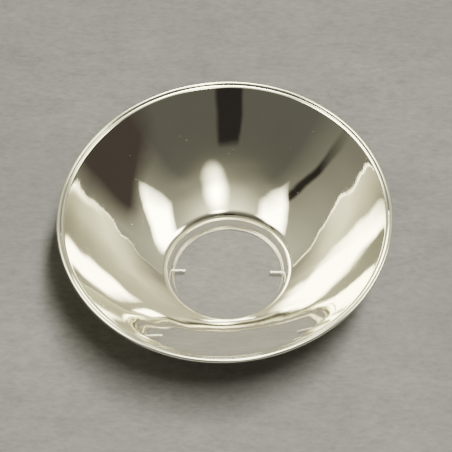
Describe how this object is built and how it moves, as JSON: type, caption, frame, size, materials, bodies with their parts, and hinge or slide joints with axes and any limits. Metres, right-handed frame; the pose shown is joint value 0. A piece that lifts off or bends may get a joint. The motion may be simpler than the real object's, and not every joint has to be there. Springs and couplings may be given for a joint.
{
  "type": "flash gun reflector",
  "caption": "Polished parabolic bowl reflector for a flash gun, with a short open neck and a wire retaining spring whose two ends reach into the neck.",
  "frame": {"origin": "centre of the bottom of the neck, which is what the reflector stands on when it lies on its back", "axes": "+Z is the optical axis and points out of the open side; the two catch ends lie along X; the spring keeper is on the +Y side of the neck"},
  "size_m": [0.127, 0.127, 0.0439],
  "materials": {
    "polished_aluminium": "mirror polished",
    "plain_aluminium": "as rolled",
    "spring_wire": "bright drawn"
  },
  "bodies": {
    "reflector": {"reflector_bowl": "polished_aluminium", "spring_keeper": "plain_aluminium"},
    "spring_left": {"retaining_spring_left": "spring_wire"},
    "spring_right": {"retaining_spring_right": "spring_wire"}
  },
  "joints": [
    {"name": "spring_left_flex", "type": "hinge", "parent": "reflector", "child": "spring_left", "pos_m": [0, 0.0236, 0.00285], "axis": [0, 0, -1], "range_deg": [0, 6], "stiffness_Nm_per_rad": 0.53},
    {"name": "spring_right_flex", "type": "hinge", "parent": "reflector", "child": "spring_right", "pos_m": [0, 0.0236, 0.00285], "axis": [0, 0, 1], "range_deg": [0, 6], "stiffness_Nm_per_rad": 0.53}
  ]
}
